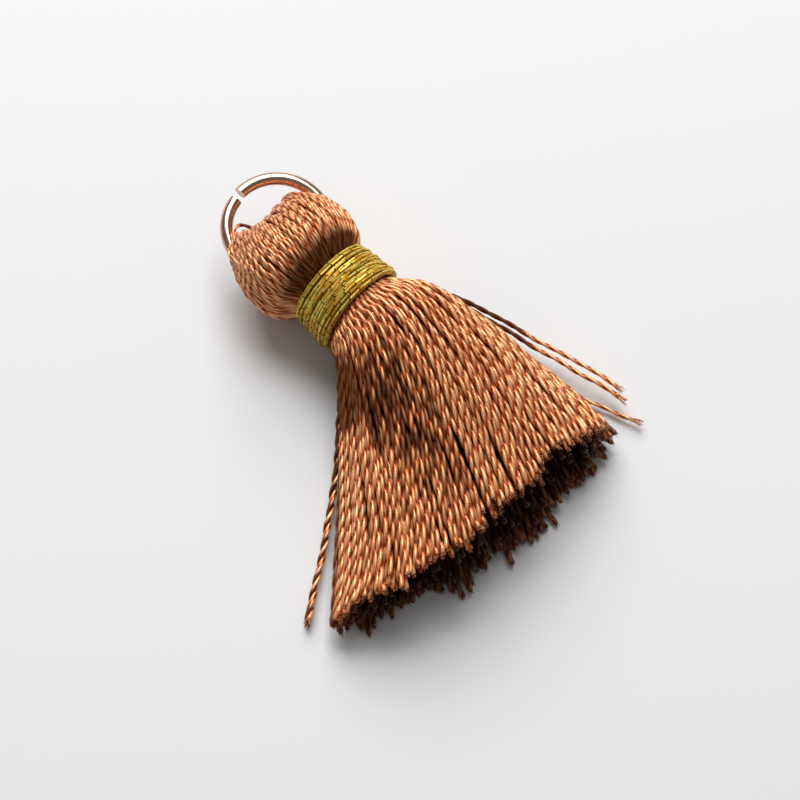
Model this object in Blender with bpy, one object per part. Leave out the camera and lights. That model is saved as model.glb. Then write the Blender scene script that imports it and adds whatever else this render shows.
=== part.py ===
"""Silk tassel on a jump ring, bound at the neck with gold thread, lying on a table.

Units are metres. +Y runs along the tassel from its cut ends to its ring, +Z is up from the
table, and the origin is on the table under the middle of the part's box.

The head, the neck and the ring share an axis that leans a little from +Y. It has its own
head frame: across (to the right, seen from above with the ring away), along (to the ring)
and up (height over the table). The loose threads below the neck swing back from that lean.
"""
import bmesh
import bpy
import numpy as np
from math import cos, pi, radians, sin, sqrt
from mathutils import Vector

MM = 0.001

# Where the neck stands in the part's frame, and how the head leans from +Y
NECK_X = 0.96 * MM
NECK_Y = 4.95 * MM
NECK_HEIGHT = 4.15 * MM
HEAD_LEAN = radians(12.0)

# A corner nearer the table than this lies on it, so the silk rests level
TABLE_REACH = 0.12 * MM

# Head: the hank folded over the ring. Its widest section stands at HEAD_MIDDLE, and it sags
# a little to the left of its axis.
HEAD_START = 2.15 * MM
HEAD_MIDDLE = 4.4 * MM
HEAD_TIP = 8.15 * MM
HEAD_TIP_SLANT = 0.1
HEAD_HALF_WIDTH = 4.4 * MM
HEAD_HALF_HEIGHT = 4.4 * MM
HEAD_START_RADIUS = 3.65 * MM
HEAD_SHOULDER_POWER = 0.6
HEAD_SAG_START = 0.28 * MM
HEAD_SAG_TIP = 0.1 * MM
TIP_HALF_WIDTH = 2.4 * MM
TIP_STEP = 0.22 * MM
TIP_STEP_PITCH = 1.9 * MM
THREAD_GROOVE = 0.13 * MM
HEAD_BACK_ROWS = 3
HEAD_DOME_ROWS = 7

# Neck inside the binding, and the collar where the threads swell out again below it
NECK_RADIUS = 2.55 * MM
COLLAR_TOP = -2.15 * MM
COLLAR_END = -2.6 * MM
COLLAR_TOP_RADIUS = 3.4 * MM
COLLAR_RADIUS = 3.68 * MM

# Gold binding: wound turns over the neck, a little wider towards the loose threads
BINDING_HALF_LENGTH = 1.84 * MM
BINDING_INNER_RADIUS = 2.85 * MM
BINDING_RADIUS_HEAD = 3.2 * MM
BINDING_RADIUS_SKIRT = 3.55 * MM
BINDING_TURNS = 10
BINDING_TURN_HEIGHT = 0.1 * MM
BINDING_STEPS = 44

# Jump ring: round wire bent to an open ring, its far side a little raised
RING_ACROSS = 0.33 * MM
RING_ALONG = 6.95 * MM
RING_HEIGHT = 4.45 * MM
RING_RADIUS = 3.55 * MM
RING_WIRE_RADIUS = 0.45 * MM
RING_TILT = radians(5.0)
RING_CUT_ANGLE = radians(97.0)
RING_CUT_WIDTH = 0.42 * MM
RING_END_RISE = 0.24 * MM
RING_CLEARANCE = 0.3 * MM
RING_OUTSIDE_RADIUS = 1.1 * RING_RADIUS
RING_ANGLE_NUDGE = 0.01
RING_SHARP_ANGLE = radians(50.0)
RING_STEPS = 44
RING_SIDES = 10
TUNNEL_STEPS = 32
TUNNEL_HALF_SWEEP = radians(140.0)

# Rings of thread roots in the collar's end, from the outermost inwards: the number of
# threads, the radius of the ring, and where it lies between the core and the outline of
# the loose end
ROOT_RINGS = (
    {"threads": 46, "radius": 3.28 * MM, "outward": 1.0},
    {"threads": 38, "radius": 2.68 * MM, "outward": 0.8},
    {"threads": 30, "radius": 2.04 * MM, "outward": 0.6},
    {"threads": 20, "radius": 1.40 * MM, "outward": 0.4},
    {"threads": 10, "radius": 0.74 * MM, "outward": 0.18},
)
ROOT_WIDTH = 0.29 * MM
ROOT_DEPTH = 0.36 * MM
BAND_LEAD = 0.5
THREAD_STATIONS = 5
STATION_POWER = 1.3
THREAD_SWELL_POWER = 1.5
THREAD_TURN_RATE = 1.6
PATH_NUDGE = 0.01
CURVE_DEGREE = 3

# Outline of the loose end, seen from the cut: flat on the table, crowned above, and
# thicker to the right. Places are from the neck.
END_MIDDLE_X = -1.4 * MM
END_HALF_WIDTH = 11.8 * MM
END_SIDE_HEIGHT = 1.7 * MM
END_CROWN = 4.2 * MM
END_CROWN_RIGHT = 0.6 * MM
END_CROWN_POWER = 2.4
END_CROWN_ROOT = 0.6
END_UNDER = 1.75 * MM
END_UNDER_POWER = 5.0
END_CORE_REACH = 0.74
END_TOP = END_SIDE_HEIGHT + END_CROWN
END_OUTLINE_STEPS = 240
OUTLINE_NUDGE = 0.006
END_Y = -19.75 * MM
END_Y_MIDDLE_X = -4.5 * MM
END_Y_CURVE = 0.013 / MM
END_LOWER_REACH = 1.05 * MM
END_UNEVEN = 0.35 * MM
END_UNEVEN_SEED = 5
THREAD_END_DEPTH = 0.46 * MM
THREAD_END_WIDTH_MIN = 0.32 * MM
THREAD_END_WIDTH_MAX = 0.68 * MM
THREAD_FILL = 0.62
RING_FILL = 0.13

# How the threads spread. They leave the collar leaning right and splayed, more so on the
# right, and bend into the fan at the cut.
START_LEAN = 0.42
START_SPLAY = 1.03
START_SPLAY_RIGHT = 0.42
START_REACH = 0.2
FAN_MIDDLE = radians(-8.3)
FAN_PER_METRE = radians(1.5) / MM
FAN_REACH = 0.2
CROWN_SWELL = 0.8 * MM
LANDING_LOW = 0.5
LANDING_HIGH = 1.0

# Threads that strayed from the outer ring: their number round it from the right side, their
# end from the neck and its height in millimetres, the direction in degrees from -Y that they
# point there, how far back that direction is felt, and where they reach their end's height
STRAYS = (
    {"thread": 2, "x": 12.72, "y": -15.13, "height": 1.5, "heading": 19.8, "reach": 0.35, "landing": 0.84},
    {"thread": 1, "x": 12.4, "y": -15.94, "height": 1.3, "heading": 23.2, "reach": 0.3, "landing": 0.7},
    {"thread": 0, "x": 12.52, "y": -17.61, "height": 0.4, "heading": 32.0, "reach": 0.32, "landing": 0.7},
    {"thread": 24, "x": -14.48, "y": -17.32, "height": 0.9, "heading": -50.8, "reach": 0.26, "landing": 0.63},
    {"thread": 25, "x": -14.22, "y": -17.66, "height": 0.3, "heading": -37.1, "reach": 0.33, "landing": 0.6},
)
STRAY_STATIONS = 8
STRAY_WIDTH = 0.42 * MM
STRAY_DEPTH = 0.4 * MM

# Plain finishes of the three materials
FINISHES = {
    "copper_silk": {"colour": (0.42, 0.13, 0.045), "roughness": 0.45, "metallic": 0.0},
    "gold_foil_thread": {"colour": (0.75, 0.52, 0.09), "roughness": 0.3, "metallic": 1.0},
    "rose_gold_wire": {"colour": (0.80, 0.50, 0.40), "roughness": 0.2, "metallic": 1.0},
}


def from_head_frame(across, along, up):
    """A point of the head frame, in the part's frame."""
    return Vector((
        NECK_X + across * cos(HEAD_LEAN) - along * sin(HEAD_LEAN),
        NECK_Y + across * sin(HEAD_LEAN) + along * cos(HEAD_LEAN),
        up,
    ))


def add_corner(shape, place):
    """A new corner, laid on the table if it is all but there."""
    if place.z < TABLE_REACH:
        place.z = 0.0
    return shape.verts.new(place)


def make_material(name):
    """A Principled BSDF in one of the plain finishes."""
    finish = FINISHES[name]
    material = bpy.data.materials.new(name)
    material.use_nodes = True
    shader = material.node_tree.nodes["Principled BSDF"]
    shader.inputs["Base Color"].default_value = (*finish["colour"], 1.0)
    shader.inputs["Roughness"].default_value = finish["roughness"]
    shader.inputs["Metallic"].default_value = finish["metallic"]
    return material


def make_object(name, shape, material):
    """Turn a bmesh into a named object of one material, its faces pointing out."""
    bmesh.ops.recalc_face_normals(shape, faces=shape.faces)
    mesh = bpy.data.meshes.new(name)
    shape.to_mesh(mesh)
    shape.free()
    mesh.materials.append(material)
    thing = bpy.data.objects.new(name, mesh)
    bpy.context.scene.collection.objects.link(thing)
    return thing


def join_rows(shape, low, high):
    """Faces between two closed rows that hold the same number of vertices."""
    count = len(low)
    for i in range(count):
        j = (i + 1) % count
        shape.faces.new((low[i], low[j], high[j], high[i]))


def head_row(shape, along, half_width, half_height, sag):
    """One row of the head: a ridge for each outer thread, and a groove after it."""
    row = []
    columns = 2 * ROOT_RINGS[0]["threads"]
    for column in range(columns):
        angle = 2 * pi * column / columns
        groove = THREAD_GROOVE * (column % 2)
        across = (half_width - groove) * cos(angle) - sag
        up = NECK_HEIGHT + (half_height - groove) * sin(angle)
        row.append(add_corner(shape, from_head_frame(across, along(across), up)))
    return row


def tip_line(across):
    """How far the thread loops reach along, at a place across the head."""
    step = TIP_STEP * sin(2 * pi * across / TIP_STEP_PITCH)
    return HEAD_TIP - HEAD_TIP_SLANT * across + step


def head_sag(along):
    """How far the head's middle lies to the left of its axis, at a place along it."""
    part = (along - HEAD_START) / (HEAD_TIP - HEAD_START)
    return HEAD_SAG_START + (HEAD_SAG_TIP - HEAD_SAG_START) * part


def level(along):
    """A section square to the head's axis."""
    return lambda across: along


def dome_section(turn):
    """A section of the head's far half, which bends towards the slanted loop line."""
    return lambda across: HEAD_MIDDLE + (tip_line(across) - HEAD_MIDDLE) * sin(turn)


def tip_row(shape):
    """The last row, where each thread on top turns over the ring and runs back below."""
    columns = 2 * ROOT_RINGS[0]["threads"]
    top = []
    for column in range(columns // 2 + 1):
        across = TIP_HALF_WIDTH * cos(2 * pi * column / columns) - HEAD_SAG_TIP
        along = tip_line(across) - THREAD_GROOVE * (column % 2)
        top.append(shape.verts.new(from_head_frame(across, along, NECK_HEIGHT)))
    return top + top[-2:0:-1]


def make_head(shape):
    """The head, neck and collar as rows of ridges. Returns the row at the collar's end."""
    rows = [tip_row(shape)]
    for step in range(HEAD_DOME_ROWS, 0, -1):
        turn = 0.5 * pi * step / (HEAD_DOME_ROWS + 1)
        half_width = TIP_HALF_WIDTH + (HEAD_HALF_WIDTH - TIP_HALF_WIDTH) * cos(turn)
        half_height = HEAD_HALF_HEIGHT * cos(turn)
        sag = head_sag(HEAD_MIDDLE + (HEAD_TIP - HEAD_MIDDLE) * sin(turn))
        rows.append(head_row(shape, dome_section(turn), half_width, half_height, sag))
    for step in range(HEAD_BACK_ROWS, -1, -1):
        part = step / HEAD_BACK_ROWS
        along = HEAD_START + (HEAD_MIDDLE - HEAD_START) * part
        swell = sin(0.5 * pi * part) ** HEAD_SHOULDER_POWER
        half_width = HEAD_START_RADIUS + (HEAD_HALF_WIDTH - HEAD_START_RADIUS) * swell
        half_height = HEAD_START_RADIUS + (HEAD_HALF_HEIGHT - HEAD_START_RADIUS) * swell
        rows.append(head_row(shape, level(along), half_width, half_height, head_sag(along)))
    for along, radius in (
        (HEAD_START, NECK_RADIUS),
        (COLLAR_TOP, NECK_RADIUS),
        (COLLAR_TOP, COLLAR_TOP_RADIUS),
        (COLLAR_END, COLLAR_RADIUS),
    ):
        rows.append(head_row(shape, level(along), radius, radius, 0.0))
    for low, high in zip(rows, rows[1:]):
        join_rows(shape, low, high)
    return rows[-1]


def root_circle(shape, ring, radius):
    """The corners of a ring of thread roots, two for each thread, at one radius."""
    circle = []
    half_angle = 0.5 * ROOT_WIDTH / ring["radius"]
    for thread in range(ring["threads"]):
        middle = 2 * pi * thread / ring["threads"]
        for angle in (middle - half_angle, middle + half_angle):
            up = NECK_HEIGHT + radius * sin(angle)
            circle.append(shape.verts.new(from_head_frame(radius * cos(angle), COLLAR_END, up)))
    return circle


def fill_band(shape, outer, inner):
    """Fill the band between two closed rows by their turn round it, whatever their counts."""
    i, j = 0, 0
    while i < len(outer) or j < len(inner):
        here = (outer[i % len(outer)], inner[j % len(inner)])
        outer_is_behind = (i + BAND_LEAD) * len(inner) < (j + 1) * len(outer)
        if outer_is_behind and i < len(outer) or j == len(inner):
            i += 1
            shape.faces.new((*here, outer[i % len(outer)]))
        else:
            j += 1
            shape.faces.new((*here, inner[j % len(inner)]))


def make_roots(shape, collar_row):
    """The collar's end face. Returns each ring's root corners, four for each thread."""
    roots = []
    outside = collar_row
    for ring in ROOT_RINGS:
        outer = root_circle(shape, ring, ring["radius"] + 0.5 * ROOT_DEPTH)
        inner = root_circle(shape, ring, ring["radius"] - 0.5 * ROOT_DEPTH)
        fill_band(shape, outside, outer)
        count = len(outer)
        for gap in range(1, count, 2):
            after = (gap + 1) % count
            shape.faces.new((outer[gap], outer[after], inner[after], inner[gap]))
        roots.append([
            (inner[i], inner[i + 1], outer[i + 1], outer[i]) for i in range(0, count, 2)
        ])
        outside = inner
    shape.faces.new(outside)
    return roots


def top_line(across):
    """Height of the loose end's top at a place across it, from -1 to 1."""
    crown = END_CROWN + END_CROWN_RIGHT * across
    return END_SIDE_HEIGHT + crown * (1.0 - abs(across) ** END_CROWN_POWER) ** END_CROWN_ROOT


def under_line(across):
    """Height of the loose end's underside: flat where its threads lie on the table."""
    fall = END_UNDER * sqrt(1.0 - abs(across) ** END_UNDER_POWER)
    return max(END_SIDE_HEIGHT - fall, 0.5 * THREAD_END_DEPTH)


def end_outline():
    """Points round the loose end, with their share of the way round from the right."""
    turns = np.linspace(0.0, pi, END_OUTLINE_STEPS)
    over = [(cos(turn), top_line(cos(turn))) for turn in turns]
    under = [(-cos(turn), under_line(-cos(turn))) for turn in turns[1:]]
    points = np.array([(END_MIDDLE_X + END_HALF_WIDTH * across, up) for across, up in over + under])
    steps = np.hypot(*np.diff(points, axis=0).T)
    share = np.concatenate(([0.0], np.cumsum(steps)))
    return points, share / share[-1]


def end_places(ring):
    """Where each thread of a ring ends across and up, and which way is outwards there."""
    points, share = end_outline()
    places = []
    for thread in range(ring["threads"]):
        at = thread / ring["threads"]
        behind, place, ahead = (
            np.array([np.interp(turn % 1.0, share, points[:, axis]) for axis in (0, 1)])
            for turn in (at - OUTLINE_NUDGE, at, at + OUTLINE_NUDGE)
        )
        reach = END_CORE_REACH * END_HALF_WIDTH
        core_x = min(max(place[0], END_MIDDLE_X - reach), END_MIDDLE_X + reach)
        across = (core_x - END_MIDDLE_X) / END_HALF_WIDTH
        core_up = 0.5 * (top_line(across) + under_line(across))
        core = np.array((core_x, core_up))
        outward = np.array((ahead[1] - behind[1], behind[0] - ahead[0]))
        places.append({
            "place": core + (place - core) * ring["outward"],
            "outward": outward / np.hypot(*outward),
            "depth": np.hypot(*(place - core)),
        })
    return places


def end_width(places, thread):
    """A thread's width at the cut: most of the room between its two neighbours."""
    here = places[thread]["place"]
    room = min(
        np.hypot(*(places[thread - 1]["place"] - here)),
        np.hypot(*(places[(thread + 1) % len(places)]["place"] - here)),
    )
    return min(max(THREAD_FILL * room, THREAD_END_WIDTH_MIN), THREAD_END_WIDTH_MAX)


def smooth(share):
    """A soft step from 0 to 1."""
    share = min(max(share, 0.0), 1.0)
    return share * share * (3.0 - 2.0 * share)


def thread_path(root, root_angle, ring, end, heading, reach, landing):
    """A function that gives the thread's middle line, from 0 at the root to 1 at its end."""
    lean = Vector((sin(HEAD_LEAN), -cos(HEAD_LEAN), 0.0))
    side = Vector((cos(HEAD_LEAN), sin(HEAD_LEAN), 0.0))
    splay = START_SPLAY + START_SPLAY_RIGHT * max(cos(root_angle), 0.0)
    splay *= ring["outward"] * cos(root_angle)
    start = (lean + side * (START_LEAN + splay)).normalized()
    finish = Vector((sin(heading), -cos(heading), 0.0))
    length = (end - root).length
    after_root = root + start * START_REACH * length
    before_end = end - finish * reach * length
    swell = CROWN_SWELL * ring["outward"] * max(0.0, sin(root_angle))

    def middle(share):
        rest = 1.0 - share
        point = root * rest ** 3 + after_root * 3 * rest ** 2 * share
        point += before_end * 3 * rest * share ** 2 + end * share ** 3
        fall = smooth(share / landing)
        point.z = root.z + (end.z - root.z) * fall + swell * sin(pi * share) * rest
        return point

    return middle


def grow_thread(shape, corners, middle, turn_from, turn_to, size_to, stations, last):
    """Grow a four-sided thread out of its root, to the last share of its middle line."""
    previous = list(corners)
    size_from = (ROOT_WIDTH, ROOT_DEPTH)
    for station in range(1, stations + 1):
        share = last * (station / stations) ** STATION_POWER
        here = middle(share)
        ahead = (middle(share + PATH_NUDGE) - middle(share - PATH_NUDGE)).normalized()
        outward = turn_from.lerp(turn_to, smooth(THREAD_TURN_RATE * share))
        outward = (outward - ahead * outward.dot(ahead)).normalized()
        across = ahead.cross(outward)
        swell = share ** THREAD_SWELL_POWER
        half_width = 0.5 * (size_from[0] + (size_to[0] - size_from[0]) * swell)
        half_depth = 0.5 * (size_from[1] + (size_to[1] - size_from[1]) * swell)
        row = []
        for sign_out, sign_across in ((-1, -1), (-1, 1), (1, 1), (1, -1)):
            offset = outward * sign_out * half_depth + across * sign_across * half_width
            row.append(add_corner(shape, here + offset))
        join_rows(shape, previous, row)
        previous = row
    shape.faces.new(previous)


def make_threads(shape, roots):
    """Grow every loose thread, strays among them, out of the collar's end."""
    uneven = np.random.default_rng(END_UNEVEN_SEED)
    stray_of = {stray["thread"]: stray for stray in STRAYS}
    for ring, ring_roots in zip(ROOT_RINGS, roots):
        places = end_places(ring)
        for thread, corners in enumerate(ring_roots):
            angle = 2 * pi * thread / ring["threads"]
            root = sum((corner.co for corner in corners), Vector()) / len(corners)
            outward = from_head_frame(cos(angle), 0.0, sin(angle)) - from_head_frame(0.0, 0.0, 0.0)
            here = places[thread]
            x, up = here["place"]
            low = 1.0 - min(up / END_TOP, 1.0)
            past_end = END_LOWER_REACH * low + END_UNEVEN * uneven.uniform(-1.0, 1.0)
            heading = FAN_MIDDLE + FAN_PER_METRE * (x - END_MIDDLE_X)
            y = END_Y + END_Y_CURVE * (x - END_Y_MIDDLE_X) ** 2
            reach = FAN_REACH
            landing = LANDING_LOW + (LANDING_HIGH - LANDING_LOW) * min(up / END_TOP, 1.0)
            turn_to = Vector((here["outward"][0], 0.0, here["outward"][1]))
            depth = min(THREAD_END_DEPTH, RING_FILL * here["depth"])
            size_to = (end_width(places, thread), depth)
            stations = THREAD_STATIONS
            if ring is ROOT_RINGS[0] and thread in stray_of:
                stray = stray_of[thread]
                x, y, up = stray["x"] * MM, stray["y"] * MM, stray["height"] * MM
                heading = radians(stray["heading"])
                reach = stray["reach"]
                landing = stray["landing"]
                size_to = (STRAY_WIDTH, STRAY_DEPTH)
                stations = STRAY_STATIONS
                past_end = 0.0
            end = Vector((NECK_X + x, NECK_Y + y, up))
            middle = thread_path(root, angle, ring, end, heading, reach, landing)
            pace = CURVE_DEGREE * reach * (end - root).length
            last = 1.0 + past_end / pace
            grow_thread(shape, corners, middle, outward, turn_to, size_to, stations, last)


def make_silk(material):
    """The hank of silk: head, neck, collar and loose threads, fused at their roots."""
    shape = bmesh.new()
    collar_row = make_head(shape)
    roots = make_roots(shape, collar_row)
    make_threads(shape, roots)
    return make_object("silk_tassel", shape, material)


def ring_point(angle, radius):
    """The middle line of the ring's wire. Its two cut ends stand one above the other."""
    from_cut = (angle - RING_CUT_ANGLE) / pi - 1.0
    across = RING_ACROSS + radius * cos(angle)
    reach = radius * sin(angle)
    up = RING_HEIGHT + reach * sin(RING_TILT) + RING_END_RISE * from_cut
    return from_head_frame(across, RING_ALONG + reach * cos(RING_TILT), up)


def wire_mesh(start, sweep, steps, wire_radius, sides):
    """Round wire swept along part of the ring, with flat ends."""
    shape = bmesh.new()
    rows = []
    for step in range(steps + 1):
        angle = start + sweep * step / steps
        middle = ring_point(angle, RING_RADIUS)
        out = (ring_point(angle, RING_OUTSIDE_RADIUS) - middle).normalized()
        after = ring_point(angle + RING_ANGLE_NUDGE, RING_RADIUS)
        before = ring_point(angle - RING_ANGLE_NUDGE, RING_RADIUS)
        ahead = after - before
        up = out.cross(ahead).normalized()
        out = ahead.cross(up).normalized()
        row = []
        for side in range(sides):
            turn = 2 * pi * side / sides
            offset = out * cos(turn) + up * sin(turn)
            row.append(shape.verts.new(middle + offset * wire_radius))
        rows.append(row)
    for low, high in zip(rows, rows[1:]):
        join_rows(shape, low, high)
    shape.faces.new(rows[0])
    shape.faces.new(rows[-1])
    return shape


def make_ring(material):
    """The jump ring, open at its cut."""
    cut = 0.5 * RING_CUT_WIDTH / RING_RADIUS
    start = RING_CUT_ANGLE + cut
    shape = wire_mesh(start, 2 * pi - 2 * cut, RING_STEPS, RING_WIRE_RADIUS, RING_SIDES)
    ring = make_object("jump_ring", shape, material)
    ring.data.shade_smooth()
    ring.data.set_sharp_from_angle(angle=RING_SHARP_ANGLE)
    return ring


def cut_ring_tunnel(silk, material):
    """Open the way through the head in which the ring's near side lies."""
    start = RING_CUT_ANGLE + pi - TUNNEL_HALF_SWEEP
    bore = RING_WIRE_RADIUS + RING_CLEARANCE
    shape = wire_mesh(start, 2 * TUNNEL_HALF_SWEEP, TUNNEL_STEPS, bore, RING_SIDES)
    tunnel = make_object("ring_tunnel", shape, material)
    tunnel.hide_render = True
    tunnel.display_type = "WIRE"
    cut = silk.modifiers.new("ring tunnel", "BOOLEAN")
    cut.operation = "DIFFERENCE"
    cut.solver = "EXACT"
    cut.object = tunnel


def binding_profile():
    """Half section of the binding in the along and radius plane, one ridge a turn."""
    profile = []
    length = 2 * BINDING_HALF_LENGTH
    for point in range(2 * BINDING_TURNS + 1):
        share = point / (2 * BINDING_TURNS)
        radius = BINDING_RADIUS_HEAD + (BINDING_RADIUS_SKIRT - BINDING_RADIUS_HEAD) * share
        radius += BINDING_TURN_HEIGHT * (point % 2)
        profile.append((BINDING_HALF_LENGTH - length * share, radius))
    profile.append((-BINDING_HALF_LENGTH, BINDING_INNER_RADIUS))
    profile.append((BINDING_HALF_LENGTH, BINDING_INNER_RADIUS))
    return profile


def make_binding(material):
    """The gold thread wound round the neck, as one band with a ridge for each turn."""
    shape = bmesh.new()
    profile = binding_profile()
    rows = []
    for along, radius in profile:
        row = []
        for step in range(BINDING_STEPS):
            angle = 2 * pi * step / BINDING_STEPS
            up = NECK_HEIGHT + radius * sin(angle)
            row.append(shape.verts.new(from_head_frame(radius * cos(angle), along, up)))
        rows.append(row)
    for low, high in zip(rows, rows[1:] + rows[:1]):
        join_rows(shape, low, high)
    return make_object("gold_binding", shape, material)


def main():
    for thing in list(bpy.data.objects):
        bpy.data.objects.remove(thing, do_unlink=True)
    silk_dye = make_material("copper_silk")
    silk = make_silk(silk_dye)
    cut_ring_tunnel(silk, silk_dye)
    make_ring(make_material("rose_gold_wire"))
    make_binding(make_material("gold_foil_thread"))


main()
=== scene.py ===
# %% [markdown]
# # A silk tassel on a jump ring
# The real thing is a hank of two-ply silk thread folded over a wire ring, bound at the neck
# with gold foil thread, and cut off square at the end. Every thread is a small twisted rope,
# and nearly all that the eye sees is hundreds of them side by side.
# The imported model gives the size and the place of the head, the neck, the ring and the cut
# end. Here each thread is modelled as a real twisted thread and laid into that space.

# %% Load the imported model
from math import cos, pi, radians, sin

import bpy
import numpy as np
from mathutils import Matrix, Vector


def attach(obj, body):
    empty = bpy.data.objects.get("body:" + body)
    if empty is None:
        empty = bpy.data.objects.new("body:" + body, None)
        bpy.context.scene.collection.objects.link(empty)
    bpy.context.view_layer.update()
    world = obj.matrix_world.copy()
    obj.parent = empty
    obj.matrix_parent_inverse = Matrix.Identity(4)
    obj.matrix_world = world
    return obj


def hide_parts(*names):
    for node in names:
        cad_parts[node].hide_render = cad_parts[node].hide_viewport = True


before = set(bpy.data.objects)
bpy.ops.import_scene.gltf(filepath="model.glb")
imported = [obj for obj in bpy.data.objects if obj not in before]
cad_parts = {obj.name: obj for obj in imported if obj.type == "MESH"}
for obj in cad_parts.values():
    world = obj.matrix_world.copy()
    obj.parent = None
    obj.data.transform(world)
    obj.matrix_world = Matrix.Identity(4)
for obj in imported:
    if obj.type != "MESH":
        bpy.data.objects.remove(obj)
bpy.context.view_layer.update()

MM = 0.001

# %% [markdown]
# ## The camera
# The photograph was taken from above the cut end, with a long lens. A long lens far away
# keeps the threads nearly parallel, as in the photograph, where a short one would spread them.
# The camera looks at a spot on the table beside the tassel and isn't turned about its own axis.

# %% Place the camera
LOOK_AT = Vector((0.852, -2.090, 0.0)) * MM
AZIMUTH = radians(-33.0)
ELEVATION = radians(66.0)
CAMERA_DISTANCE = 300.0 * MM
LENS_MM = 195.75
NEAREST_SEEN = 10.0 * MM
FARTHEST_SEEN = 5000.0 * MM
BACK = Vector((
    sin(AZIMUTH) * cos(ELEVATION),
    -cos(AZIMUTH) * cos(ELEVATION),
    sin(ELEVATION),
))
camera = bpy.data.objects.new("camera", bpy.data.cameras.new("camera"))
bpy.context.scene.collection.objects.link(camera)
camera.data.lens = LENS_MM
camera.data.clip_start = NEAREST_SEEN
camera.data.clip_end = FARTHEST_SEEN
camera.location = LOOK_AT + BACK * CAMERA_DISTANCE
camera.rotation_mode = "QUATERNION"
camera.rotation_quaternion = (-BACK).to_track_quat("-Z", "Y")
bpy.context.scene.camera = camera
print("camera at mm:", [round(c / MM, 1) for c in camera.location])

# %% [markdown]
# ## The head's own frame
# The head, the neck and the ring share an axis that leans from the model's +Y. Places there
# are easier to give across, along and up in a frame that leans with them.

# %% The head frame and the sizes shared with the solids
NECK = np.array((0.96, 4.95, 0.0)) * MM
NECK_HEIGHT = 4.15 * MM
HEAD_LEAN = radians(12.0)
HEAD_START = 2.15 * MM
HEAD_MIDDLE = 4.4 * MM
HEAD_TIP = 8.15 * MM
HEAD_HALF_WIDTH = 4.5 * MM
HEAD_HALF_HEIGHT = 4.4 * MM
HEAD_START_RADIUS = 3.65 * MM
HEAD_SHOULDER_POWER = 0.6
HEAD_SAG_START = 0.24 * MM
HEAD_SAG_TIP = 0.08 * MM
ACROSS_AXIS = np.array((cos(HEAD_LEAN), sin(HEAD_LEAN), 0.0))
ALONG_AXIS = np.array((-sin(HEAD_LEAN), cos(HEAD_LEAN), 0.0))
UP_AXIS = np.array((0.0, 0.0, 1.0))


def head_place(across, along, up):
    """Points of the head frame, in the model's frame, one row each."""
    across, along, up = np.broadcast_arrays(across, along, up)
    return (
        NECK
        + across[..., None] * ACROSS_AXIS
        + along[..., None] * ALONG_AXIS
        + up[..., None] * UP_AXIS
    )


def smooth(share):
    """A soft step from 0 to 1."""
    share = np.clip(share, 0.0, 1.0)
    return share * share * (3.0 - 2.0 * share)


# %% [markdown]
# ## One thread, modelled once
# A silk thread here is two plies twisted together, so its section is a rounded figure eight
# that turns as it goes. It could be two separate curves, but one closed skin with two lobes
# shows the same slanting highlights with half of the faces. A circle is added, its sides are
# pulled in to a waist, and a Screw modifier turns and lifts it along the thread.

# %% Model the straight master threads
THREAD_RADIUS = 0.205 * MM
THREAD_LENGTH = 21.0 * MM
TWIST_PITCH = 2.5 * MM
TIP_LENGTH = 0.07 * MM
TIP_NARROWING = 0.6
SAME_ANGLE = 1.0
SAME_PLACE = 0.001 * MM
PLY_ANGLES = (0.0, 30.0, 60.0, 90.0)
PLY_REACH = (1.0, 0.95, 0.82, 0.68)


def select_where(thing, test):
    """In edit mode, select the vertices whose place passes the test."""
    bpy.ops.object.mode_set(mode="OBJECT")
    for group in (thing.data.polygons, thing.data.edges):
        group.foreach_set("select", np.zeros(len(group), bool))
    for vertex in thing.data.vertices:
        vertex.select = bool(test(vertex.co))
    bpy.ops.object.mode_set(mode="EDIT")
    bpy.ops.mesh.select_mode(type="VERT")


def add_circle(sides, radius, fill="NOTHING", place=(0, 0, 0)):
    """A new circle that stands across the Y axis, as the active object."""
    bpy.ops.mesh.primitive_circle_add(
        vertices=sides, radius=radius, fill_type=fill, location=place, rotation=(pi / 2, 0, 0))
    bpy.ops.object.transform_apply(location=True, rotation=True, scale=True)
    return bpy.context.object


def push_end(push, size, end):
    """In edit mode, extrude the selected end along Y and resize its section."""
    bpy.ops.mesh.extrude_region_move(TRANSFORM_OT_translate={"value": (0, push, 0)})
    bpy.ops.transform.resize(value=(size, 1, size), center_override=(0, end, 0))


def face_outwards():
    """Turn every face outwards and leave edit mode."""
    bpy.ops.mesh.select_all(action="SELECT")
    bpy.ops.mesh.normals_make_consistent(inside=False)
    bpy.ops.object.mode_set(mode="OBJECT")


def model_thread(name, sides, steps, length=THREAD_LENGTH, pitch=TWIST_PITCH):
    """A straight twisted thread along +Y, closed at both ends."""
    thread = add_circle(sides, THREAD_RADIUS)
    thread.name = name
    for side in range(1, sides // 4 + 1):
        from_ridge = 360.0 * side / sides

        def at_this_angle(place):
            turn = np.degrees(np.arctan2(abs(place.x), abs(place.z)))
            return abs(turn - from_ridge) < SAME_ANGLE

        select_where(thread, at_this_angle)
        waist = float(np.interp(from_ridge, PLY_ANGLES, PLY_REACH))
        bpy.ops.transform.resize(value=(waist,) * 3, center_override=(0, 0, 0))
    bpy.ops.object.mode_set(mode="OBJECT")
    screw = thread.modifiers.new("twist", "SCREW")
    screw.axis = "Y"
    screw.angle = -2 * pi * length / pitch
    screw.screw_offset = length
    screw.steps = screw.render_steps = steps
    bpy.ops.object.modifier_apply(modifier=screw.name)
    bpy.ops.object.mode_set(mode="EDIT")
    for end, push in ((0.0, -TIP_LENGTH), (length, TIP_LENGTH)):
        select_where(thread, lambda place: abs(place.y - end) < SAME_PLACE)
        bpy.ops.mesh.edge_face_add()
        push_end(push, TIP_NARROWING, end)
    face_outwards()
    return thread


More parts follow.
